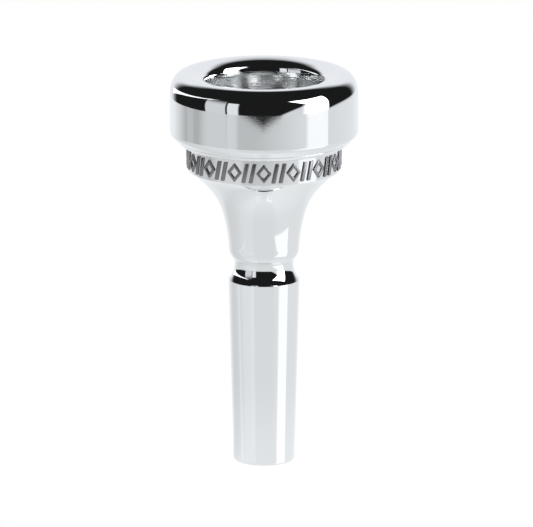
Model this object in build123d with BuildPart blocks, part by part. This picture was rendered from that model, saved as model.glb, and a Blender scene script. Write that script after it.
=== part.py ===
from build123d import *
import math
import os

# Brass cornet mouthpiece in three screwed sections with two sealing rings.
# All sizes in millimetres. +Z runs up the bore, z = 0 is the small end of the shank.

# Driving sizes: heights of the main edges
SHANK_TOP = 26.9
NECK_SEAT = 29.8
TAPER_FOOT = 32.0
COLLAR_LOW = 43.25
COLLAR_TOP = 47.0
RIM_SEAT = 47.58
BAND_LOW = 48.58
BAND_TOP = 54.0
CROWN_Z = 57.22
BITE_Z = 55.9

# Driving sizes: outside radii
SHANK_END_R = 4.4
SHANK_TOP_R = 5.09
GROOVE_R = 4.28
TAPER_FOOT_R = 5.06
COLLAR_R = 10.95
FLANGE_R = 11.92
RIM_SEAT_R = 12.5
BAND_R = 13.5
CROWN_R = 11.1
END_ROUND = 0.3
BAND_ROUND = 0.9
SEAT_GAP = 0.02

# Points that shape the outside curves, as (radius, height)
COVE_LOW = (4.66, 27.45)
COVE_MID = (4.38, 28.1)
COVE_HIGH = (4.22, 28.9)
NECK_FOOT = (4.3, NECK_SEAT + SEAT_GAP)
NECK_ROUND_LOW = (4.69, 30.4)
NECK_ROUND = (4.98, 31.1)
TAPER_LOW = (5.71, 36.0)
TAPER_MID = (6.84, 39.0)
TAPER_HIGH = (8.38, 41.0)
TAPER_TOP = (9.62, 42.25)
RIM_SHOULDER_LOW = (13.31, 55.5)
RIM_SHOULDER = (12.95, 56.28)
RIM_SHOULDER_HIGH = (12.19, 56.98)
CROWN_INNER = (10.2, 57.09)
BITE_ROUND = (9.2, 56.79)
BITE_EDGE = (8.66, 56.4)

# Directions of the outside curves at their ends
COVE_START = (-1, 0.9)
COVE_END = (0.2, 1)
NECK_START = (0.5, 1)
NECK_END = (0.05, 1)
TAPER_START = (0.09, 1)
TAPER_END = (1, 0.55)
SHOULDER_START = (0, 1)

# Air passage
EXIT_R = 3.6
BACKBORE_MID_R = 2.95
BACKBORE_MID_Z = 18.0
THROAT_R = 2.3
THROAT_TOP = 42.6
CUP_JOIN_R = 8.34
BITE_R = 8.45
BOWL_HIGH = (8.0, 50.0)
BOWL_MID = (6.75, 47.2)
BOWL_LOW = (4.5, 45.1)
BOWL_START = (-0.04, -1)

# Neck joint: spigot of the backbore in the socket of the cup
NECK_PITCH = 1.0
NECK_ROOT_R = 3.22
NECK_CREST_R = 3.6
NECK_THREAD_LOW = 30.7
NECK_THREAD_TOP = 34.4
NECK_LAND_LOW = 35.0
NECK_LAND_R = 3.05
NECK_SPIGOT_TOP = 36.8
NECK_SOCKET_TOP = 36.85
NECK_GLAND_LOW = 35.4
NECK_GLAND_TOP = 36.2
NECK_SEAL_R = 0.3

# Rim joint: spigot of the cup in the socket of the rim
RIM_PITCH = 0.94
RIM_ROOT_R = 9.9
RIM_CREST_R = 10.3
RIM_THREAD_LOW = 48.15
RIM_THREAD_TOP = 50.2
RIM_LAND_LOW = 51.1
RIM_LAND_R = 9.5
RIM_SPIGOT_TOP = 52.45
RIM_SOCKET_TOP = 52.5
RIM_GLAND_LOW = 51.45
RIM_GLAND_TOP = 52.25
RIM_SEAL_R = 0.33

# Thread form and running clearances
CREST_HALF = 0.1
FLANK = math.tan(math.radians(30))
THREAD_CLEAR = 0.08
SOCKET_CLEAR = 0.06
SEAL_CLEAR = 0.04
TOOTH_BED = 0.12

# Raised ornament around the collar
ORNAMENT_CELLS = 16
ORNAMENT_RAISE = 0.2
ORNAMENT_BED = 0.7
ORNAMENT_Z = 44.97
ORNAMENT_HALF_H = 1.42
LOZENGE_HALF_W = 1.15
LOZENGE_STROKE = 0.6
BAR_HALF_W = 0.31
BAR_STEP = 0.54
BAR_LEAN = 0.3


def thread_tooth(pitch, inner_r, outer_r, outer_half, low, top):
    """A right-hand thread tooth, outer_half wide each way at outer_r, from low to top."""
    depth = outer_r - inner_r
    inner_half = outer_half + depth * FLANK
    with BuildPart() as tooth:
        with BuildLine() as path:
            Helix(pitch=pitch, height=top - low, radius=inner_r, center=(0, 0, low))
        start = Plane(origin=(inner_r, 0, low), x_dir=(1, 0, 0), z_dir=path.line % 0)
        with BuildSketch(start):
            with BuildLine():
                Polyline(
                    (0, -inner_half),
                    (depth, -outer_half),
                    (depth, outer_half),
                    (0, inner_half),
                    close=True,
                )
            make_face()
        sweep(path=path.line, is_frenet=True)
    return tooth.part


def male_thread(pitch, root_r, crest_r, low, top):
    """The tooth that stands on a spigot, bedded a little into it."""
    return thread_tooth(pitch, root_r - TOOTH_BED, crest_r, CREST_HALF, low, top)


def female_thread(pitch, root_r, crest_r, low, top):
    """The matching groove of a socket, wider all round and open at the socket's mouth."""
    groove_r = crest_r + THREAD_CLEAR
    groove_half = CREST_HALF + THREAD_CLEAR / 2
    mouth = low - 2 * pitch
    return thread_tooth(pitch, root_r, groove_r, groove_half, mouth, top + THREAD_CLEAR)


def make_backbore():
    """Tapered shank, neck groove and threaded spigot around the flared backbore."""
    with BuildPart() as shank:
        with BuildSketch(Plane.XZ):
            with BuildLine():
                shank_edge = (SHANK_TOP_R, SHANK_TOP)
                cove_end = (GROOVE_R, NECK_SEAT)
                Line((EXIT_R, 0), (SHANK_END_R, 0))
                Line((SHANK_END_R, 0), shank_edge)
                Spline(
                    shank_edge,
                    COVE_LOW,
                    COVE_MID,
                    COVE_HIGH,
                    cove_end,
                    tangents=[COVE_START, COVE_END],
                )
                Polyline(
                    cove_end,
                    (NECK_ROOT_R, NECK_SEAT),
                    (NECK_ROOT_R, NECK_LAND_LOW - NECK_ROOT_R + NECK_LAND_R),
                    (NECK_LAND_R, NECK_LAND_LOW),
                    (NECK_LAND_R, NECK_SPIGOT_TOP),
                    (THROAT_R, NECK_SPIGOT_TOP),
                )
                Spline(
                    (THROAT_R, NECK_SPIGOT_TOP),
                    (BACKBORE_MID_R, BACKBORE_MID_Z),
                    (EXIT_R, 0),
                )
            make_face()
        revolve(axis=Axis.Z)
        end_edges = shank.edges().filter_by(GeomType.CIRCLE).group_by(Axis.Z)[0]
        fillet(end_edges.sort_by(SortBy.RADIUS)[-1], radius=END_ROUND)
        add(male_thread(NECK_PITCH, NECK_ROOT_R, NECK_CREST_R, NECK_THREAD_LOW, NECK_THREAD_TOP))
    shank.part.label = "backbore"
    return shank.part


def make_backbore_seal():
    """Ring seal around the top of the backbore's spigot."""
    ring_r = NECK_LAND_R + SEAL_CLEAR + NECK_SEAL_R
    ring_z = (NECK_GLAND_LOW + NECK_GLAND_TOP) / 2
    with BuildPart() as seal:
        with BuildSketch(Plane.XZ):
            with Locations((ring_r, ring_z)):
                Circle(NECK_SEAL_R)
        revolve(axis=Axis.Z)
    seal.part.label = "backbore_seal"
    return seal.part


def make_lozenge():
    """One raised lozenge ring at the front of the collar."""
    inner_w = LOZENGE_HALF_W - LOZENGE_STROKE
    inner_h = ORNAMENT_HALF_H * inner_w / LOZENGE_HALF_W
    with BuildPart() as lozenge:
        with BuildSketch(Plane.XZ.offset(COLLAR_R + ORNAMENT_RAISE)):
            with Locations((0, ORNAMENT_Z)):
                Polygon(
                    (-LOZENGE_HALF_W, 0),
                    (0, -ORNAMENT_HALF_H),
                    (LOZENGE_HALF_W, 0),
                    (0, ORNAMENT_HALF_H),
                )
                Polygon(
                    (-inner_w, 0),
                    (0, -inner_h),
                    (inner_w, 0),
                    (0, inner_h),
                    mode=Mode.SUBTRACT,
                )
        extrude(amount=-ORNAMENT_BED)
    return lozenge.part


def make_bars():
    """One pair of raised leaning bars at the front of the collar."""
    with BuildPart() as bars:
        with BuildSketch(Plane.XZ.offset(COLLAR_R + ORNAMENT_RAISE)):
            with Locations((-BAR_STEP, ORNAMENT_Z), (BAR_STEP, ORNAMENT_Z)):
                Polygon(
                    (-BAR_HALF_W - BAR_LEAN, -ORNAMENT_HALF_H),
                    (BAR_HALF_W - BAR_LEAN, -ORNAMENT_HALF_H),
                    (BAR_HALF_W + BAR_LEAN, ORNAMENT_HALF_H),
                    (-BAR_HALF_W + BAR_LEAN, ORNAMENT_HALF_H),
                )
        extrude(amount=-ORNAMENT_BED)
    return bars.part


def make_cup():
    """Flared cup body with embossed collar, flange, bowl, throat, lower socket and upper spigot."""
    taper_foot = (TAPER_FOOT_R, TAPER_FOOT)
    collar_foot = (COLLAR_R, COLLAR_LOW)
    socket_r = NECK_ROOT_R + SOCKET_CLEAR
    gland_r = NECK_LAND_R + 2 * SEAL_CLEAR + 2 * NECK_SEAL_R
    pilot_r = NECK_LAND_R + SOCKET_CLEAR
    half_cell = 180 / ORNAMENT_CELLS
    with BuildPart() as body:
        with BuildSketch(Plane.XZ):
            with BuildLine():
                Spline(
                    NECK_FOOT,
                    NECK_ROUND_LOW,
                    NECK_ROUND,
                    taper_foot,
                    tangents=[NECK_START, NECK_END],
                )
                Spline(
                    taper_foot,
                    TAPER_LOW,
                    TAPER_MID,
                    TAPER_HIGH,
                    TAPER_TOP,
                    collar_foot,
                    tangents=[TAPER_START, TAPER_END],
                )
                Polyline(
                    collar_foot,
                    (COLLAR_R, COLLAR_TOP),
                    (FLANGE_R, COLLAR_TOP),
                    (RIM_SEAT_R, RIM_SEAT),
                    (RIM_ROOT_R, RIM_SEAT),
                    (RIM_ROOT_R, RIM_LAND_LOW - RIM_ROOT_R + RIM_LAND_R),
                    (RIM_LAND_R, RIM_LAND_LOW),
                    (RIM_LAND_R, RIM_SPIGOT_TOP),
                    (CUP_JOIN_R, RIM_SPIGOT_TOP),
                )
                Spline(
                    (CUP_JOIN_R, RIM_SPIGOT_TOP),
                    BOWL_HIGH,
                    BOWL_MID,
                    BOWL_LOW,
                    (THROAT_R, THROAT_TOP),
                    tangents=[BOWL_START, (0, -1)],
                )
                Polyline(
                    (THROAT_R, THROAT_TOP),
                    (THROAT_R, NECK_SOCKET_TOP),
                    (pilot_r, NECK_SOCKET_TOP),
                    (pilot_r, NECK_GLAND_TOP),
                    (gland_r, NECK_GLAND_TOP),
                    (gland_r, NECK_GLAND_LOW),
                    (socket_r, NECK_GLAND_LOW),
                    (socket_r, NECK_SEAT + SEAT_GAP),
                    NECK_FOOT,
                )
            make_face()
        revolve(axis=Axis.Z)
        with PolarLocations(radius=0, count=ORNAMENT_CELLS):
            add(make_lozenge())
        with PolarLocations(radius=0, count=ORNAMENT_CELLS, start_angle=half_cell):
            add(make_bars())
        add(male_thread(RIM_PITCH, RIM_ROOT_R, RIM_CREST_R, RIM_THREAD_LOW, RIM_THREAD_TOP))
        add(
            female_thread(
                NECK_PITCH, NECK_ROOT_R, NECK_CREST_R, NECK_THREAD_LOW, NECK_THREAD_TOP
            ),
            mode=Mode.SUBTRACT,
        )
    body.part.label = "cup"
    return body.part


def make_rim_seal():
    """Ring seal around the top of the cup's spigot."""
    ring_r = RIM_LAND_R + SEAL_CLEAR + RIM_SEAL_R
    ring_z = (RIM_GLAND_LOW + RIM_GLAND_TOP) / 2
    with BuildPart() as seal:
        with BuildSketch(Plane.XZ):
            with Locations((ring_r, ring_z)):
                Circle(RIM_SEAL_R)
        revolve(axis=Axis.Z)
    seal.part.label = "rim_seal"
    return seal.part


def make_rim():
    """Rounded rim with its band, chamfer, bite and threaded socket."""
    socket_r = RIM_ROOT_R + SOCKET_CLEAR
    gland_r = RIM_LAND_R + 2 * SEAL_CLEAR + 2 * RIM_SEAL_R
    pilot_r = RIM_LAND_R + SOCKET_CLEAR
    foot_z = RIM_SEAT + SEAT_GAP
    with BuildPart() as ring:
        with BuildSketch(Plane.XZ):
            with BuildLine():
                Polyline(
                    (socket_r, foot_z),
                    (RIM_SEAT_R + SEAT_GAP, foot_z),
                    (BAND_R, BAND_LOW),
                    (BAND_R, BAND_TOP),
                )
                Spline(
                    (BAND_R, BAND_TOP),
                    RIM_SHOULDER_LOW,
                    RIM_SHOULDER,
                    RIM_SHOULDER_HIGH,
                    (CROWN_R, CROWN_Z),
                    tangents=[SHOULDER_START, (-1, 0)],
                )
                Spline(
                    (CROWN_R, CROWN_Z),
                    CROWN_INNER,
                    BITE_ROUND,
                    BITE_EDGE,
                    (BITE_R, BITE_Z),
                    (CUP_JOIN_R, RIM_SOCKET_TOP),
                    tangents=[(-1, 0), (0, -1)],
                )
                Polyline(
                    (CUP_JOIN_R, RIM_SOCKET_TOP),
                    (pilot_r, RIM_SOCKET_TOP),
                    (pilot_r, RIM_GLAND_TOP),
                    (gland_r, RIM_GLAND_TOP),
                    (gland_r, RIM_GLAND_LOW),
                    (socket_r, RIM_GLAND_LOW),
                    (socket_r, foot_z),
                )
            make_face()
        revolve(axis=Axis.Z)
        band_edges = ring.edges().filter_by(GeomType.CIRCLE)
        band_foot = band_edges.filter_by_position(Axis.Z, BAND_LOW - SEAT_GAP, BAND_LOW + SEAT_GAP)
        fillet(band_foot, radius=BAND_ROUND)
        add(
            female_thread(RIM_PITCH, RIM_ROOT_R, RIM_CREST_R, RIM_THREAD_LOW, RIM_THREAD_TOP),
            mode=Mode.SUBTRACT,
        )
    ring.part.label = "rim"
    return ring.part


os.makedirs("parts", exist_ok=True)
export_step(make_backbore(), "parts/backbore.step")
export_step(make_backbore_seal(), "parts/backbore_seal.step")
export_step(make_cup(), "parts/cup.step")
export_step(make_rim_seal(), "parts/rim_seal.step")
export_step(make_rim(), "parts/rim.step")
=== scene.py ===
import bpy
import math
from mathutils import Matrix, Vector


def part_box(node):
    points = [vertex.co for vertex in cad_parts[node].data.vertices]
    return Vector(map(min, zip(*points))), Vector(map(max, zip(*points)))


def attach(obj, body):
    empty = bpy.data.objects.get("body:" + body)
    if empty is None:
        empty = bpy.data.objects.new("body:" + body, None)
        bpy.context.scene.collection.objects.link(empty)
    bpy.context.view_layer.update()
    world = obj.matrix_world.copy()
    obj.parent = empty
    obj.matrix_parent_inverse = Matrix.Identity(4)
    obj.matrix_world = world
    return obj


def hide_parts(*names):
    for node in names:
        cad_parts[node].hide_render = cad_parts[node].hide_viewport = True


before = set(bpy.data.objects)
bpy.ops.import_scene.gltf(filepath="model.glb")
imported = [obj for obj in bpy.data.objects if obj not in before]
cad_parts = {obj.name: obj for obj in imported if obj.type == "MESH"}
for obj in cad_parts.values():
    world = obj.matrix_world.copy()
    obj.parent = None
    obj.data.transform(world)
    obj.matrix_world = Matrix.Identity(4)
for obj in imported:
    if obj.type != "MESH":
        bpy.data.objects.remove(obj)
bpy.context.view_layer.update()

# All lengths below are in millimetres and become metres as the meshes are made.
MM = 0.001
ROUND_STEPS = 256
HOLD = 0.05
SHARP_ANGLE = 35


# ---------------------------------------------------------------- edit helpers

def deselect_everything():
    if bpy.context.object and bpy.context.object.mode == "EDIT":
        bpy.ops.object.mode_set(mode="OBJECT")
    bpy.ops.object.select_all(action="DESELECT")


def make_active(piece):
    deselect_everything()
    piece.select_set(True)
    bpy.context.view_layer.objects.active = piece


def join_into(piece, others):
    make_active(piece)
    for other in others:
        other.select_set(True)
    bpy.ops.object.join()


def smooth_by_angle(piece, degrees):
    make_active(piece)
    bpy.ops.object.shade_smooth_by_angle(angle=math.radians(degrees))


# ------------------------------------------------------------ profile geometry

def straight(start, end, step=3.0):
    """Points from start towards end with a close pair at each end, so flats stay flat."""
    run = math.dist(start, end)
    if run < 4 * HOLD:
        return [start]
    marks = [0.0, HOLD / run]
    inner = max(1, int((run - 2 * HOLD) / step))
    for k in range(1, inner):
        marks.append(HOLD / run + (1 - 2 * HOLD / run) * k / inner)
    marks.append(1 - HOLD / run)
    return [(start[0] + (end[0] - start[0]) * t, start[1] + (end[1] - start[1]) * t) for t in marks]


def flowing(points, start_way, end_way, per_span=10):
    """A cubic curve through the points, leaving along start_way and arriving along end_way."""
    count = len(points)
    gaps = [math.dist(points[k], points[k + 1]) for k in range(count - 1)]
    slopes = []
    for axis in (0, 1):
        lower, middle, upper, right = [0.0] * count, [1.0] * count, [0.0] * count, [0.0] * count
        right[0] = start_way[axis] / math.hypot(*start_way)
        right[-1] = end_way[axis] / math.hypot(*end_way)
        for k in range(1, count - 1):
            before, after = gaps[k - 1], gaps[k]
            lower[k], middle[k], upper[k] = after, 2 * (before + after), before
            rise_before = (points[k][axis] - points[k - 1][axis]) / before
            rise_after = (points[k + 1][axis] - points[k][axis]) / after
            right[k] = 3 * (after * rise_before + before * rise_after)
        for k in range(1, count):
            share = lower[k] / middle[k - 1]
            middle[k] -= share * upper[k - 1]
            right[k] -= share * right[k - 1]
        slope = [0.0] * count
        slope[-1] = right[-1] / middle[-1]
        for k in range(count - 2, -1, -1):
            slope[k] = (right[k] - upper[k] * slope[k + 1]) / middle[k]
        slopes.append(slope)
    out = []
    for k in range(count - 1):
        for j in range(per_span):
            t = j / per_span
            near, far = 1 - 3 * t * t + 2 * t * t * t, 3 * t * t - 2 * t * t * t
            leave, arrive = gaps[k] * (t - 2 * t * t + t * t * t), gaps[k] * (t * t * t - t * t)
            out.append(tuple(
                near * points[k][axis] + far * points[k + 1][axis]
                + leave * slopes[axis][k] + arrive * slopes[axis][k + 1]
                for axis in (0, 1)
            ))
    return out


def rounded_corner(before, corner, after, radius, steps=5):
    """Points of a small round that replaces the corner between two straight runs."""
    into = Vector((before[0] - corner[0], before[1] - corner[1])).normalized()
    away = Vector((after[0] - corner[0], after[1] - corner[1])).normalized()
    half = into.angle(away) / 2
    reach = radius / math.tan(half)
    first = Vector(corner) + into * reach
    centre = Vector(corner) + (into + away).normalized() * (radius / math.sin(half))
    spoke = first - centre
    sweep = math.pi - 2 * half
    turn = 1 if into.x * away.y - into.y * away.x < 0 else -1
    out = []
    for k in range(steps + 1):
        out.append(tuple(centre + Matrix.Rotation(turn * sweep * k / steps, 2) @ spoke))
    return out


def turned_profile(corners):
    """A closed outline from (point, radius) corners; a list in place of a corner is used as it is."""
    count = len(corners)

    def entry(k):
        return corners[k % count][0]

    def leave(k):
        item = corners[k % count]
        return item[-1] if isinstance(item, list) else item[0]

    pieces = []
    for k, item in enumerate(corners):
        if isinstance(item, list):
            pieces.append(item)
        elif item[1] > 0:
            pieces.append(rounded_corner(leave(k - 1), item[0], entry(k + 1), item[1]))
        else:
            pieces.append([item[0]])
    outline = []
    for k, points in enumerate(pieces):
        following = pieces[(k + 1) % count][0]
        outline.extend(points)
        if math.dist(points[-1], following) > 1e-6:
            outline.extend(straight(points[-1], following)[1:])
    clean = []
    for point in outline:
        if not clean or math.dist(point, clean[-1]) > 1e-4:
            clean.append(point)
    return clean


# -------------------------------------------------------------- turning pieces

def chain_of_edges(name, outline, closed):
    """One vertex extruded from point to point of the outline, in the XZ plane."""
    deselect_everything()
    start = Vector((outline[0][0] * MM, 0, outline[0][1] * MM))
    bpy.ops.mesh.primitive_circle_add(vertices=3, radius=MM * 0.1, location=start)
    piece = bpy.context.object
    piece.name = name
    bpy.ops.object.mode_set(mode="EDIT")
    bpy.ops.mesh.select_mode(type="VERT")
    bpy.ops.mesh.select_all(action="SELECT")
    bpy.ops.mesh.merge(type="CENTER")
    here = start
    for radius, height in outline[1:]:
        there = Vector((radius * MM, 0, height * MM))
        bpy.ops.mesh.extrude_region_move(TRANSFORM_OT_translate={"value": there - here})
        here = there
    if closed:
        bpy.ops.mesh.extrude_region_move(TRANSFORM_OT_translate={"value": start - here})
    bpy.ops.mesh.select_all(action="SELECT")
    bpy.ops.mesh.remove_doubles(threshold=MM * 0.0005)
    bpy.ops.object.mode_set(mode="OBJECT")
    bpy.ops.object.transform_apply(location=True, rotation=True, scale=True)
    return piece


def turn_on_lathe(name, outline, steps=ROUND_STEPS):
    """The closed outline spun once round the bore's axis."""
    piece = chain_of_edges(name, outline, closed=True)
    bpy.ops.object.mode_set(mode="EDIT")
    bpy.ops.mesh.select_all(action="SELECT")
    bpy.ops.mesh.spin(steps=steps, angle=math.tau, center=(0, 0, 0), axis=(0, 0, 1))
    bpy.ops.mesh.select_all(action="SELECT")
    bpy.ops.mesh.remove_doubles(threshold=MM * 0.0005)
    bpy.ops.mesh.normals_make_consistent(inside=False)
    bpy.ops.object.mode_set(mode="OBJECT")
    return piece


def cut_thread(name, section, low, turns, pitch, start_turn=0.0):
    """A right-hand thread tooth of the given section, wound up the axis and closed at its ends."""
    lift = [(radius, height + low) for radius, height in section]
    piece = chain_of_edges(name, lift, closed=True)
    make_active(piece)
    wind = piece.modifiers.new("wind", "SCREW")
    wind.axis = "Z"
    wind.angle = math.tau * turns
    wind.screw_offset = pitch * turns * MM
    wind.iterations = 1
    wind.steps = int(96 * turns)
    wind.render_steps = int(96 * turns)
    wind.use_merge_vertices = False
    bpy.ops.object.modifier_apply(modifier=wind.name)
    bpy.ops.object.mode_set(mode="EDIT")
    bpy.ops.mesh.select_all(action="DESELECT")
    bpy.ops.mesh.select_non_manifold()
    bpy.ops.mesh.fill_holes(sides=0)
    bpy.ops.mesh.select_all(action="SELECT")
    bpy.ops.mesh.normals_make_consistent(inside=False)
    bpy.ops.object.mode_set(mode="OBJECT")
    piece.data.transform(Matrix.Rotation(math.tau * start_turn, 4, "Z"))
    return piece


# ------------------------------------------------------------ sizes from the frame

rim_low, rim_high = [[value / MM for value in corner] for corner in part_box("rim")]
cup_low, cup_high = [[value / MM for value in corner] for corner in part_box("cup")]
shank_high = [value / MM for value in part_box("backbore")[1]]

BAND_R = rim_high[0]
CROWN_Z = rim_high[2]
RIM_FOOT_Z = rim_low[2]
CUP_TOP = cup_high[2]
NECK_Z = cup_low[2]
SPIGOT_TOP = shank_high[2]
SHANK_R = shank_high[0]

# Outside of the shank, neck, collar and rim.
SHANK_TOP = 26.9
SHANK_END_R = 4.4
SHANK_END_ROUND = 0.3
GROOVE_R = 4.28
SEAT_Z = 29.8
TAPER_FOOT = (5.06, 32.0)
COLLAR_R = 10.95
COLLAR_Z = 43.25
COLLAR_TOP = 47.0
FLANGE_R = 11.92
SEAT_R = 12.5
RIM_SEAT_Z = 47.58
BAND_Z = 48.58
BAND_ROUND = 0.9
BAND_TOP = 54.0
CROWN_R = 11.1

# Bore, from the bite at the lips down to the exit at the shank's end.
BITE = (8.45, 55.9)
JOIN_R = 8.34
THROAT_R = 2.3
THROAT_Z = 42.6
EXIT_R = 3.6

# Screw joint between rim and cup: socket in the rim, spigot on the cup.
RIM_PITCH = 0.94
RIM_THREAD_LOW = 48.15
RIM_THREAD_TURNS = 2.05 / RIM_PITCH
RIM_RIDGE_TURNS = 1.95
RIM_MOUTH_R = 10.38
RIM_MOUTH_TOP = 50.72
RIM_BORE_R = 9.96
RIM_BORE_TOP = 50.9
RIM_GLAND_R = 10.24
RIM_GLAND_LOW = 51.45
RIM_GLAND_TOP = 52.25
RIM_PILOT_R = 9.56
RIM_SOCKET_TOP = 52.5
RIM_SPIGOT_R = 9.9
RIM_SPIGOT_STEP = 50.7
RIM_NOSE_R = 9.5
RIM_NOSE_LOW = 51.1

# Screw joint between cup and shank: socket in the cup, spigot on the shank.
NECK_PITCH = 1.0
NECK_THREAD_LOW = 30.7
NECK_THREAD_TURNS = 3.7
NECK_RIDGE_TURNS = 3.9
NECK_RIDGE_START = 0.1
NECK_MOUTH_R = 3.68
NECK_MOUTH_TOP = 34.85
NECK_BORE_R = 3.28
NECK_BORE_LOW = 35.0
NECK_GLAND_R = 3.73
NECK_GLAND_LOW = 35.4
NECK_GLAND_TOP = 36.2
NECK_PILOT_R = 3.11
NECK_SOCKET_TOP = 36.85
NECK_SPIGOT_R = 3.22
NECK_SPIGOT_STEP = 34.83
NECK_NOSE_R = 3.05
NECK_NOSE_LOW = 35.0

# Small rounds that break the edges.
FINE_EDGE = 0.03
SOFT_EDGE = 0.05


def bowl_curve():
    """The inside of the bowl from its top edge down to the throat."""
    return flowing(
        [(JOIN_R, CUP_TOP), (8.0, 50.0), (6.75, 47.2), (4.5, 45.1), (THROAT_R, THROAT_Z)],
        (-0.04, -1), (0, -1), per_span=12,
    )


def shoulder_curve():
    """The rounded shoulder of the rim, from the band up to its crown."""
    return flowing(
        [(BAND_R, BAND_TOP), (13.31, 55.5), (12.95, 56.28), (12.19, 56.98), (CROWN_R, CROWN_Z)],
        (0, 1), (-1, 0), per_span=12,
    )


def bite_curve():
    """The inner round of the rim, from its crown down the wall of the bowl."""
    return flowing(
        [(CROWN_R, CROWN_Z), (10.2, 57.09), (9.2, 56.79), (8.66, 56.4), BITE, (JOIN_R, RIM_SOCKET_TOP)],
        (-1, 0), (0, -1), per_span=10,
    )


def taper_curve():
    """The hollow flare of the cup, from the neck out to the collar."""
    return flowing(
        [TAPER_FOOT, (5.71, 36.0), (6.84, 39.0), (8.38, 41.0), (9.62, 42.25), (COLLAR_R, COLLAR_Z)],
        (0.09, 1), (1, 0.55), per_span=14,
    )


# ------------------------------------------------------------------ rim piece

def neck_curve():
    """The lower corner of the cup, from its seat out to the foot of the taper."""
    return flowing(
        [(4.3, NECK_Z), (4.69, 30.4), (4.98, 31.1), TAPER_FOOT],
        (0.5, 1), (0.05, 1), per_span=10,
    )


def groove_curve():
    """The hollow of the neck groove, from the top of the shank in to its seat."""
    return flowing(
        [(SHANK_R - 0.02, SHANK_TOP + 0.015), (4.66, 27.45), (4.38, 28.1), (4.22, 28.9), (GROOVE_R, SEAT_Z)],
        (-1, 0.9), (0.2, 1), per_span=10,
    )


def backbore_curve():
    """The bore of the shank, opening from the throat down to its exit."""
    return flowing(
        [(THROAT_R, SPIGOT_TOP), (2.95, 18.0), (EXIT_R, 0.06)],
        (0.028, -1), (0.042, -1), per_span=10,
    )


def make_rim():
    outline = turned_profile([
        ((RIM_MOUTH_R, RIM_FOOT_Z), FINE_EDGE),
        ((SEAT_R + 0.02, RIM_FOOT_Z), 0.04),
        ((BAND_R, BAND_Z), BAND_ROUND),
        shoulder_curve() + bite_curve() + [(JOIN_R, RIM_SOCKET_TOP)],
        ((RIM_PILOT_R, RIM_SOCKET_TOP), 0),
        ((RIM_PILOT_R, RIM_GLAND_TOP), 0),
        ((RIM_GLAND_R, RIM_GLAND_TOP), 0),
        ((RIM_GLAND_R, RIM_GLAND_LOW), 0),
        ((RIM_BORE_R, RIM_GLAND_LOW), 0.04),
        ((RIM_BORE_R, RIM_BORE_TOP), 0.04),
        ((RIM_MOUTH_R, RIM_MOUTH_TOP), FINE_EDGE),
    ])
    rim = turn_on_lathe("rim_ring", outline)
    ridge = cut_thread(
        "rim_socket_thread",
        [(10.44, -0.345), (9.98, -0.1), (9.96, -0.07), (9.96, 0.07), (9.98, 0.1), (10.44, 0.345)],
        RIM_THREAD_LOW + RIM_PITCH * 0.5, RIM_RIDGE_TURNS, RIM_PITCH,
    )
    join_into(rim, [ridge])
    smooth_by_angle(rim, SHARP_ANGLE)
    return rim


def make_cup():
    outline = turned_profile([
        ((NECK_MOUTH_R, NECK_Z), FINE_EDGE),
        neck_curve() + taper_curve() + [(COLLAR_R, COLLAR_Z)],
        ((COLLAR_R, COLLAR_TOP), 0.1),
        ((FLANGE_R, COLLAR_TOP), SOFT_EDGE),
        ((SEAT_R, RIM_SEAT_Z), 0.04),
        ((RIM_SPIGOT_R, RIM_SEAT_Z), 0),
        ((RIM_SPIGOT_R, RIM_SPIGOT_STEP), FINE_EDGE),
        ((RIM_NOSE_R, RIM_NOSE_LOW), FINE_EDGE),
        ((RIM_NOSE_R, CUP_TOP), SOFT_EDGE),
        bowl_curve() + [(THROAT_R, THROAT_Z)],
        ((THROAT_R, NECK_SOCKET_TOP), 0),
        ((NECK_PILOT_R, NECK_SOCKET_TOP), 0),
        ((NECK_PILOT_R, NECK_GLAND_TOP), 0),
        ((NECK_GLAND_R, NECK_GLAND_TOP), 0),
        ((NECK_GLAND_R, NECK_GLAND_LOW), 0),
        ((NECK_BORE_R, NECK_GLAND_LOW), FINE_EDGE),
        ((NECK_BORE_R, NECK_BORE_LOW), FINE_EDGE),
        ((NECK_MOUTH_R, NECK_MOUTH_TOP), FINE_EDGE),
    ])
    cup = turn_on_lathe("cup_body", outline)
    tooth = cut_thread(
        "cup_spigot_thread",
        [(9.8, -0.39), (10.27, -0.12), (10.3, -0.09), (10.3, 0.09), (10.27, 0.12), (9.8, 0.39)],
        RIM_THREAD_LOW, RIM_THREAD_TURNS, RIM_PITCH,
    )
    ridge = cut_thread(
        "cup_socket_thread",
        [(3.74, -0.36), (3.3, -0.12), (3.28, -0.09), (3.28, 0.09), (3.3, 0.12), (3.74, 0.36)],
        NECK_THREAD_LOW + NECK_PITCH * (NECK_RIDGE_START - 0.5), NECK_RIDGE_TURNS, NECK_PITCH,
        start_turn=NECK_RIDGE_START,
    )
    join_into(cup, [tooth, ridge])
    smooth_by_angle(cup, SHARP_ANGLE)
    return cup


def make_backbore():
    outline = turned_profile([
        ((EXIT_R, 0.0), 0.06),
        ((SHANK_END_R, 0.0), SHANK_END_ROUND),
        ((SHANK_R, SHANK_TOP), FINE_EDGE),
        groove_curve()[1:] + [(GROOVE_R, SEAT_Z)],
        ((NECK_SPIGOT_R, SEAT_Z), FINE_EDGE),
        ((NECK_SPIGOT_R, NECK_SPIGOT_STEP), FINE_EDGE),
        ((NECK_NOSE_R, NECK_NOSE_LOW), FINE_EDGE),
        ((NECK_NOSE_R, SPIGOT_TOP), SOFT_EDGE),
        backbore_curve(),
    ])
    backbore = turn_on_lathe("backbore_shank", outline)
    tooth = cut_thread(
        "backbore_thread",
        [(3.12, -0.37), (3.57, -0.12), (3.6, -0.09), (3.6, 0.09), (3.57, 0.12), (3.12, 0.37)],
        NECK_THREAD_LOW, NECK_THREAD_TURNS, NECK_PITCH,
    )
    join_into(backbore, [tooth])
    smooth_by_angle(backbore, SHARP_ANGLE)
    return backbore


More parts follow.
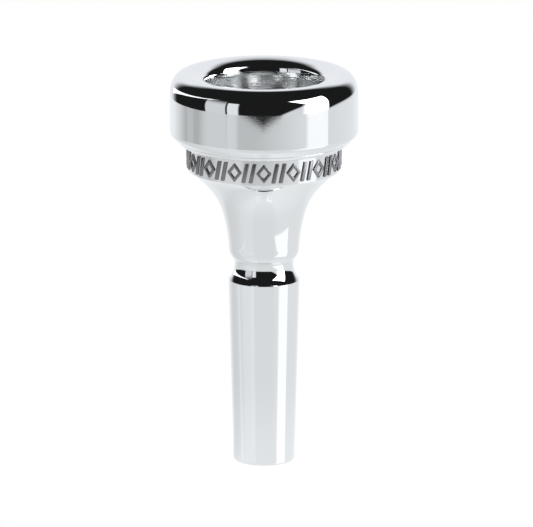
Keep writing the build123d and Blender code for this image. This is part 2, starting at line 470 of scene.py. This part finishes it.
def make_seal(name, ring_r, ring_z, cord_r):
    """A ring seal with the fine mould line that such rings have at their inside and outside."""
    marks, flash_height = 40, 0.012
    outline = []
    for k in range(marks):
        angle = math.tau * k / marks
        flash = flash_height * math.exp(-(math.sin(angle) / 0.12) ** 2)
        reach = cord_r - flash_height + flash
        outline.append((ring_r + reach * math.cos(angle), ring_z + reach * math.sin(angle)))
    seal = turn_on_lathe(name, outline, steps=160)
    smooth_by_angle(seal, 60)
    return seal


# --------------------------------------------------------------- collar ornament

CELLS = 16
RAISE = 0.2
BED = 0.45
ORNAMENT_Z = 44.97
HALF_H = 1.42


def wrap_on_collar(motif):
    """Rolls a flat motif, drawn with x along the collar and y outwards, onto the round collar."""
    for vertex in motif.data.vertices:
        along, out, up = vertex.co / MM
        angle = along / (COLLAR_R + RAISE)
        radius = COLLAR_R + out
        vertex.co = Vector((radius * math.sin(angle), -radius * math.cos(angle), up)) * MM


def raise_motif(name, corners, soften, stroke=None):
    """A flat outline stood up off the collar with softened top edges, hollow where it has a stroke."""
    deselect_everything()
    bpy.ops.mesh.primitive_circle_add(vertices=4, radius=MM, fill_type="NGON", location=(0, 0, 0))
    motif = bpy.context.object
    motif.name = name
    for vertex, (along, up) in zip(motif.data.vertices, corners):
        vertex.co = Vector((along, -BED, up + ORNAMENT_Z)) * MM
    bpy.ops.object.mode_set(mode="EDIT")
    bpy.ops.mesh.select_all(action="SELECT")
    if stroke:
        bpy.ops.mesh.inset(thickness=stroke * MM)
        bpy.ops.mesh.delete(type="FACE")
        bpy.ops.mesh.select_all(action="SELECT")
    bpy.ops.mesh.extrude_region_move(TRANSFORM_OT_translate={"value": (0, (BED + RAISE) * MM, 0)})
    bpy.ops.object.mode_set(mode="OBJECT")
    top = (RAISE - 0.02) * MM
    motif.data.update()
    bpy.ops.object.mode_set(mode="EDIT")
    bpy.ops.mesh.select_mode(type="EDGE")
    bpy.ops.mesh.select_all(action="DESELECT")
    bpy.ops.object.mode_set(mode="OBJECT")
    for edge in motif.data.edges:
        one, two = (motif.data.vertices[index].co.y for index in edge.vertices)
        edge.select = (one > top) or (two > top)
    bpy.ops.object.mode_set(mode="EDIT")
    bpy.ops.mesh.bevel(offset=soften * MM, segments=5, profile=0.5)
    bpy.ops.mesh.select_all(action="SELECT")
    bpy.ops.mesh.quads_convert_to_tris()
    bpy.ops.mesh.normals_make_consistent(inside=False)
    bpy.ops.object.mode_set(mode="OBJECT")
    return motif


def make_ornament():
    half_w, stroke, soften = 1.15, 0.44, 0.13
    lozenge = raise_motif(
        "collar_lozenge", [(0, HALF_H), (-half_w, 0), (0, -HALF_H), (half_w, 0)], soften, stroke)
    lean, bar, step = 0.3, 0.31, 0.54
    bars = []
    for side in (-step, step):
        bars.append(raise_motif("collar_bar", [
            (side - bar + lean, HALF_H), (side - bar - lean, -HALF_H),
            (side + bar - lean, -HALF_H), (side + bar + lean, HALF_H)], soften))
    band = []
    for motif, offset in ((lozenge, 0.0), (bars[0], 0.5), (bars[1], 0.5)):
        wrap_on_collar(motif)
        for cell in range(CELLS):
            copy = motif.copy()
            copy.data = motif.data.copy()
            copy.data.transform(Matrix.Rotation(math.tau * (cell + offset) / CELLS, 4, "Z"))
            bpy.context.collection.objects.link(copy)
            band.append(copy)
        bpy.data.objects.remove(motif)
    join_into(band[0], band[1:])
    band[0].name = "collar_ornament"
    smooth_by_angle(band[0], 40)
    return band[0]


# -------------------------------------------------------------------- finishes

def new_finish(name):
    finish = bpy.data.materials.new(name)
    finish.use_nodes = True
    tree = finish.node_tree
    shader = tree.nodes["Principled BSDF"]
    return finish, tree, shader


def polished_silver(name, color, rough_low, rough_high, scratch):
    finish, tree, shader = new_finish(name)
    nodes, links = tree.nodes, tree.links
    shader.inputs["Metallic"].default_value = 1.0
    place = nodes.new("ShaderNodeTexCoord")
    cloud = nodes.new("ShaderNodeTexNoise")
    cloud.inputs["Scale"].default_value = 160.0
    cloud.inputs["Detail"].default_value = 4.0
    links.new(place.outputs["Object"], cloud.inputs["Vector"])
    tint = nodes.new("ShaderNodeMix")
    tint.data_type = "RGBA"
    tint.inputs["A"].default_value = (*color, 1)
    tint.inputs["B"].default_value = (color[0] * 0.985, color[1] * 0.98, color[2] * 0.965, 1)
    links.new(cloud.outputs["Fac"], tint.inputs["Factor"])
    links.new(tint.outputs["Result"], shader.inputs["Base Color"])
    gloss = nodes.new("ShaderNodeMapRange")
    gloss.inputs["From Min"].default_value = 0.3
    gloss.inputs["From Max"].default_value = 0.7
    gloss.inputs["To Min"].default_value = rough_low
    gloss.inputs["To Max"].default_value = rough_high
    links.new(cloud.outputs["Fac"], gloss.inputs["Value"])
    links.new(gloss.outputs["Result"], shader.inputs["Roughness"])
    stretch = nodes.new("ShaderNodeMapping")
    stretch.inputs["Scale"].default_value = (1.0, 1.0, 22.0)
    links.new(place.outputs["Object"], stretch.inputs["Vector"])
    lines = nodes.new("ShaderNodeTexNoise")
    lines.inputs["Scale"].default_value = 900.0
    lines.inputs["Detail"].default_value = 3.0
    links.new(stretch.outputs["Vector"], lines.inputs["Vector"])
    bump = nodes.new("ShaderNodeBump")
    bump.inputs["Strength"].default_value = scratch
    bump.inputs["Distance"].default_value = 0.00001
    links.new(lines.outputs["Fac"], bump.inputs["Height"])
    links.new(bump.outputs["Normal"], shader.inputs["Normal"])
    return finish


def turned_silver(name, color, depth):
    """Plate over the fine rings that turning leaves, which draw each light out along the bore."""
    finish, tree, shader = new_finish(name)
    nodes, links = tree.nodes, tree.links
    shader.inputs["Metallic"].default_value = 1.0
    place = nodes.new("ShaderNodeTexCoord")
    cloud = nodes.new("ShaderNodeTexNoise")
    cloud.inputs["Scale"].default_value = 220.0
    cloud.inputs["Detail"].default_value = 3.0
    links.new(place.outputs["Object"], cloud.inputs["Vector"])
    tint = nodes.new("ShaderNodeMix")
    tint.data_type = "RGBA"
    tint.inputs["A"].default_value = (*color, 1)
    tint.inputs["B"].default_value = (color[0] * 0.99, color[1] * 0.965, color[2] * 0.93, 1)
    links.new(cloud.outputs["Fac"], tint.inputs["Factor"])
    links.new(tint.outputs["Result"], shader.inputs["Base Color"])
    gloss = nodes.new("ShaderNodeMapRange")
    gloss.inputs["To Min"].default_value = 0.05
    gloss.inputs["To Max"].default_value = 0.1
    links.new(cloud.outputs["Fac"], gloss.inputs["Value"])
    links.new(gloss.outputs["Result"], shader.inputs["Roughness"])
    squash = nodes.new("ShaderNodeMapping")
    squash.inputs["Scale"].default_value = (0.004, 0.004, 1.0)
    links.new(place.outputs["Object"], squash.inputs["Vector"])
    rings = nodes.new("ShaderNodeTexNoise")
    rings.inputs["Scale"].default_value = 14000.0
    rings.inputs["Detail"].default_value = 2.0
    links.new(squash.outputs["Vector"], rings.inputs["Vector"])
    bump = nodes.new("ShaderNodeBump")
    bump.inputs["Strength"].default_value = 1.0
    bump.inputs["Distance"].default_value = depth
    links.new(rings.outputs["Fac"], bump.inputs["Height"])
    links.new(bump.outputs["Normal"], shader.inputs["Normal"])
    return finish


def seal_rubber():
    finish, tree, shader = new_finish("black_seal_rubber")
    nodes, links = tree.nodes, tree.links
    place = nodes.new("ShaderNodeTexCoord")
    grain = nodes.new("ShaderNodeTexNoise")
    grain.inputs["Scale"].default_value = 2500.0
    grain.inputs["Detail"].default_value = 5.0
    links.new(place.outputs["Object"], grain.inputs["Vector"])
    tone = nodes.new("ShaderNodeValToRGB")
    tone.color_ramp.elements[0].color = (0.012, 0.012, 0.013, 1)
    tone.color_ramp.elements[1].color = (0.035, 0.035, 0.037, 1)
    links.new(grain.outputs["Fac"], tone.inputs["Fac"])
    links.new(tone.outputs["Color"], shader.inputs["Base Color"])
    gloss = nodes.new("ShaderNodeMapRange")
    gloss.inputs["To Min"].default_value = 0.42
    gloss.inputs["To Max"].default_value = 0.68
    links.new(grain.outputs["Fac"], gloss.inputs["Value"])
    links.new(gloss.outputs["Result"], shader.inputs["Roughness"])
    bump = nodes.new("ShaderNodeBump")
    bump.inputs["Strength"].default_value = 0.25
    bump.inputs["Distance"].default_value = 0.00001
    links.new(grain.outputs["Fac"], bump.inputs["Height"])
    links.new(bump.outputs["Normal"], shader.inputs["Normal"])
    return finish


# ------------------------------------------------------------------- assembling

SILVER = (0.885, 0.905, 0.92)
RING_DEPTH = 0.000014
mirror_plate = polished_silver("polished_silver_plate", SILVER, 0.015, 0.04, 0.03)
bore_plate = turned_silver("turned_silver_bore", SILVER, RING_DEPTH)
cast_plate = polished_silver("fine_cast_silver_ornament", (0.78, 0.79, 0.81), 0.16, 0.34, 0.5)
# A dark copy of the silver plate for the relief's sides: painted shade.
painted_shade_sides_plate = polished_silver("shaded_silver_relief_sides", (0.26, 0.26, 0.27), 0.2, 0.36, 0.3)
rubber = seal_rubber()


def dress(piece, is_inner):
    """Mirror plate outside, turned plate where is_inner(radius, height) holds."""
    piece.data.materials.clear()
    piece.data.materials.append(mirror_plate)
    piece.data.materials.append(bore_plate)
    for face in piece.data.polygons:
        radius = math.hypot(face.center.x, face.center.y) / MM
        face.material_index = 1 if is_inner(radius, face.center.z / MM) else 0


def in_rim_bore(radius, height):
    return height < BITE[1] - 0.3 and radius < 10.6


def in_cup_bore(radius, height):
    funnel = 2.5 + max(0.0, height - THROAT_Z) * 1.6
    on_spigot = height > RIM_SEAT_Z + 0.05
    in_socket = height > NECK_Z + 0.1 and radius < 3.8
    return on_spigot or radius < funnel or in_socket


def in_backbore(radius, height):
    return radius < 3.58 and height < 36.7


def dress_ornament(ornament):
    """Grey faces on the raised motifs, and painted shade down their sides: a darker copy of the plate there.
    """
    ornament.data.materials.clear()
    ornament.data.materials.append(cast_plate)
    ornament.data.materials.append(painted_shade_sides_plate)
    for face in ornament.data.polygons:
        outward = Vector((face.center.x, face.center.y, 0)).normalized()
        # Faces turned well away from outwards take the dark copy, painted shade down the motifs' sides.
        face.material_index = 1 if face.normal.dot(outward) < 0.72 else 0


rim = make_rim()
cup = make_cup()
backbore = make_backbore()
dress(rim, in_rim_bore)
dress(cup, in_cup_bore)
dress(backbore, in_backbore)
ornament = make_ornament()
dress_ornament(ornament)
join_into(cup, [ornament])


def seal_to_match(name, node):
    """A ring seal of the size and height that the frame gives for its node."""
    low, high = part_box(node)
    cord = (high[2] - low[2]) / 2 / MM
    seal = make_seal(name, high[0] / MM - cord, (low[2] + high[2]) / 2 / MM, cord)
    seal.data.materials.clear()
    seal.data.materials.append(rubber)
    return seal


rim_seal = seal_to_match("rim_sealing_ring", "rim_seal")
neck_seal = seal_to_match("neck_sealing_ring", "backbore_seal")

for piece, body, slot in (
    (rim, "rim", "silver_plate"),
    (cup, "cup", "silver_plate"),
    (backbore, "backbore", "silver_plate"),
    (rim_seal, "rim_seal", "seal_rubber"),
    (neck_seal, "backbore_seal", "seal_rubber"),
):
    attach(piece, body)
    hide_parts(body)


# ------------------------------------------------------------ stage and camera

def maths_for(nodes, links):
    """A short way to add one maths step to a node tree."""
    def maths(operation, first, second=None):
        node = nodes.new("ShaderNodeMath")
        node.operation = operation
        for slot, value in enumerate((first, second)):
            if isinstance(value, (int, float)):
                node.inputs[slot].default_value = value
            elif value is not None:
                links.new(value, node.inputs[slot])
        return node.outputs[0]
    return maths


def ramp_for(nodes, links):
    """A short way to add a smooth step from 0 at low to 1 at high."""
    def ramp(value, low, high):
        node = nodes.new("ShaderNodeMapRange")
        node.interpolation_type = "SMOOTHSTEP"
        links.new(value, node.inputs["Value"])
        node.inputs["From Min"].default_value = low
        node.inputs["From Max"].default_value = high
        return node.outputs["Result"]
    return ramp


def make_room():
    """A studio known by direction only: dark, with soft boxes at the sides and a white wall behind."""
    room = bpy.data.worlds.new("studio_room")
    bpy.context.scene.world = room
    room.use_nodes = True
    tree = room.node_tree
    nodes, links = tree.nodes, tree.links
    nodes.clear()
    out = nodes.new("ShaderNodeOutputWorld")
    place = nodes.new("ShaderNodeTexCoord")
    split = nodes.new("ShaderNodeSeparateXYZ")
    links.new(place.outputs["Generated"], split.inputs["Vector"])

    maths = maths_for(nodes, links)
    ramp = ramp_for(nodes, links)
    front = maths("MULTIPLY", split.outputs["Y"], -1.0)
    around = maths("MULTIPLY", maths("ARCTAN2", split.outputs["X"], front), 180 / math.pi)
    height = maths("MULTIPLY", maths("ARCSINE", split.outputs["Z"]), 180 / math.pi)

    def window(left, right, low, high, soft_left=1, soft_right=1, soft_low=1, soft_high=1):
        """A soft-edged box of light between two bearings and two heights, all in degrees."""
        mask = maths("MULTIPLY", ramp(around, left, left + soft_left),
                     maths("SUBTRACT", 1.0, ramp(around, right - soft_right, right)))
        tall = maths("MULTIPLY", ramp(height, low, low + soft_low),
                     maths("SUBTRACT", 1.0, ramp(height, high - soft_high, high)))
        return maths("MULTIPLY", mask, tall)

    def card(total, mask, strength):
        return maths("ADD", total, maths("MULTIPLY", mask, strength))

    total = maths("ADD", 0.012, 0.0)

    # The right box, whose upper part leans out to the left.
    over_foot = maths("MAXIMUM", 0.0, maths("SUBTRACT", height, 12.0))
    lean = maths("ADD", around, maths("MULTIPLY", over_foot, 1.0))
    total = card(total, window(46, 86, -14, 13, 26, 1.5, 1, 2), 5.0)
    upper = maths("MULTIPLY", ramp(lean, 52, 59), window(30, 86, 11, 34, 1, 1.5, 2, 2))
    total = card(total, upper, 5.5)

    # A grey board that rises towards the right box.
    rise = maths("SUBTRACT", maths("MULTIPLY", around, 0.74), 29.0)
    under = maths("SUBTRACT", 1.0, ramp(maths("SUBTRACT", height, rise), -3, 3))
    total = card(total, maths("MULTIPLY", under, window(16, 60, -16, 30, 6, 10)), 0.75)

    # Two boards on the left with a dark gap between them.
    total = card(total, window(-77, -47.5, -14, 30, 2, 1, 1, 22), 0.7)
    total = card(total, window(-46, -30, -14, 22, 1, 3, 1, 3), 0.85)

    # A long slanted tube that runs back behind the left boards and thins as it comes forward.
    along = maths("ADD", around, 140.0)
    centre = maths("ADD", maths("MULTIPLY", along, 0.372), -1.0)
    off = maths("ABSOLUTE", maths("SUBTRACT", height, centre))
    thick = maths("SUBTRACT", 3.5, maths("MULTIPLY", along, 0.035))
    across_tube = ramp(maths("DIVIDE", off, thick), 1.15, 0.85)
    tube = maths("MULTIPLY", across_tube, window(-150, -58, -20, 60, 6, 14))
    total = card(total, tube, 1.5)

    # The wall behind.
    turned = maths("ABSOLUTE", around)
    behind = window(-181, 181, -17, 50, 0.5, 0.5, 2, 20)
    total = card(total, maths("MULTIPLY", ramp(turned, 132, 156), behind), 0.9)

    shown = nodes.new("ShaderNodeLightPath")
    room_light = nodes.new("ShaderNodeBackground")
    room_light.inputs["Color"].default_value = (0.955, 0.965, 1.0, 1)
    links.new(total, room_light.inputs["Strength"])
    plain = nodes.new("ShaderNodeBackground")
    plain.inputs["Color"].default_value = (1, 1, 1, 1)
    pick = nodes.new("ShaderNodeMixShader")
    links.new(shown.outputs["Is Camera Ray"], pick.inputs["Fac"])
    links.new(room_light.outputs["Background"], pick.inputs[1])
    links.new(plain.outputs["Background"], pick.inputs[2])
    links.new(pick.outputs["Shader"], out.inputs["Surface"])


def round_table():
    """A white table with a slight sheen, whose light and shade are painted into its glow: bright by the
    piece, and grey in front near its round edge.
    """
    finish = bpy.data.materials.new("white_table")
    finish.use_nodes = True
    tree = finish.node_tree
    nodes, links = tree.nodes, tree.links
    nodes.clear()
    out = nodes.new("ShaderNodeOutputMaterial")
    place = nodes.new("ShaderNodeTexCoord")
    split = nodes.new("ShaderNodeSeparateXYZ")
    links.new(place.outputs["Object"], split.inputs["Vector"])
    maths = maths_for(nodes, links)
    ramp = ramp_for(nodes, links)
    across, front = split.outputs["X"], maths("MULTIPLY", split.outputs["Y"], -1.0)
    around = maths("MULTIPLY", maths("ARCTAN2", across, front), 180 / math.pi)
    squares = maths("ADD", maths("MULTIPLY", across, across), maths("MULTIPLY", front, front))
    reach = maths("SQRT", squares)

    def tones(stops):
        """Painted light and shade by direction round the table, from (degrees, brightness) stops."""
        node = nodes.new("ShaderNodeValToRGB")
        links.new(maths("ADD", maths("DIVIDE", around, 360), 0.5), node.inputs["Fac"])
        marks = node.color_ramp.elements
        while len(marks) < len(stops):
            marks.new(0.5)
        for mark, (degrees, tone) in zip(marks, stops):
            mark.position = degrees / 360 + 0.5
            mark.color = (tone, tone, tone, 1)
        return node.outputs["Color"]

    # Painted light and shade in the table's glow: darker and lighter sweeps by bearing, far out and near the
    # piece.
    far = tones([(-180, 0.96), (-138, 0.95), (-122, 0.76), (-108, 0.52), (-86, 0.51), (-76, 0.69),
                 (-46, 0.7), (-42, 0.73), (-34, 0.7), (-31, 0.6), (-12, 0.6), (20, 0.73),
                 (45, 0.84), (90, 0.84), (140, 0.92), (180, 0.96)])
    near = tones([(-180, 0.93), (-145, 0.89), (-122, 0.76), (-95, 0.79), (-70, 0.86), (-38, 0.88),
                  (-30, 0.84), (25, 0.84), (45, 0.89), (140, 0.89), (180, 0.93)])
    outer = ramp(reach, 0.15, 0.213)
    inner = maths("SUBTRACT", 1.0, outer)
    tone = maths("ADD", maths("MULTIPLY", near, inner), maths("MULTIPLY", far, outer))
    # A painted pool of light close round the piece.
    tone = maths("ADD", tone, maths("MULTIPLY", ramp(reach, 0.05, 0.0), 0.1))
    right_side = ramp(around, 70, 120)
    from_notch = maths("DIVIDE", maths("ABSOLUTE", maths("ADD", around, 1.0)), 30.0)
    notch_shape = maths("MAXIMUM", 0.0, maths("SUBTRACT", 1.0, from_notch))
    notch = maths("MULTIPLY", notch_shape, 0.013)
    edge = maths("SUBTRACT", maths("ADD", 0.248, maths("MULTIPLY", right_side, 0.1)), notch)
    fade = maths("SUBTRACT", maths("ADD", 0.253, maths("MULTIPLY", right_side, 0.6)), notch)
    over = nodes.new("ShaderNodeMapRange")
    over.interpolation_type = "SMOOTHSTEP"
    links.new(reach, over.inputs["Value"])
    links.new(edge, over.inputs["From Min"])
    links.new(fade, over.inputs["From Max"])
    table = nodes.new("ShaderNodeEmission")
    table.inputs["Color"].default_value = (0.975, 0.988, 1.0, 1)
    links.new(tone, table.inputs["Strength"])
    sheen = nodes.new("ShaderNodeBsdfGlossy")
    sheen.inputs["Roughness"].default_value = 0.04
    both = nodes.new("ShaderNodeMixShader")
    both.inputs["Fac"].default_value = 0.07
    links.new(table.outputs["Emission"], both.inputs[1])
    links.new(sheen.outputs["BSDF"], both.inputs[2])
    clear = nodes.new("ShaderNodeBsdfTransparent")
    edged = nodes.new("ShaderNodeMixShader")
    links.new(over.outputs["Result"], edged.inputs["Fac"])
    links.new(both.outputs["Shader"], edged.inputs[1])
    links.new(clear.outputs["BSDF"], edged.inputs[2])
    plain = nodes.new("ShaderNodeEmission")
    plain.inputs["Color"].default_value = (1, 1, 1, 1)
    shown = nodes.new("ShaderNodeLightPath")
    pick = nodes.new("ShaderNodeMixShader")
    links.new(shown.outputs["Is Camera Ray"], pick.inputs["Fac"])
    links.new(edged.outputs["Shader"], pick.inputs[1])
    links.new(plain.outputs["Emission"], pick.inputs[2])
    links.new(pick.outputs["Shader"], out.inputs["Surface"])
    return finish


def make_floor():
    table_radius, below_piece = 1.5, 0.00002
    deselect_everything()
    bpy.ops.mesh.primitive_circle_add(
        vertices=128, radius=table_radius, fill_type="NGON", location=(0, 0, -below_piece))
    floor = bpy.context.object
    floor.name = "studio_floor"
    bpy.ops.object.transform_apply(location=True, rotation=True, scale=True)
    floor.data.materials.append(round_table())


def make_camera():
    """A long lens a metre away, looking a little down at the middle of the piece."""
    distance, aim_height, tilt = 1.0, 0.02908, math.radians(14.25)
    lens = bpy.data.cameras.new("studio_camera")
    camera = bpy.data.objects.new("studio_camera", lens)
    bpy.context.collection.objects.link(camera)
    lens.sensor_width = 36.0
    lens.lens = 469.2
    lens.shift_x = 0.00469
    lens.clip_start = 0.01
    lens.clip_end = 10.0
    aim = Vector((0, 0, aim_height))
    camera.location = aim + Vector((0, -math.cos(tilt), math.sin(tilt))) * distance
    camera.rotation_euler = (aim - camera.location).to_track_quat("-Z", "Y").to_euler()
    bpy.context.scene.camera = camera


make_room()
make_floor()
make_camera()
bpy.context.scene.view_settings.view_transform = "Standard"
bpy.context.scene.cycles.max_bounces = 16
bpy.context.scene.cycles.glossy_bounces = 12
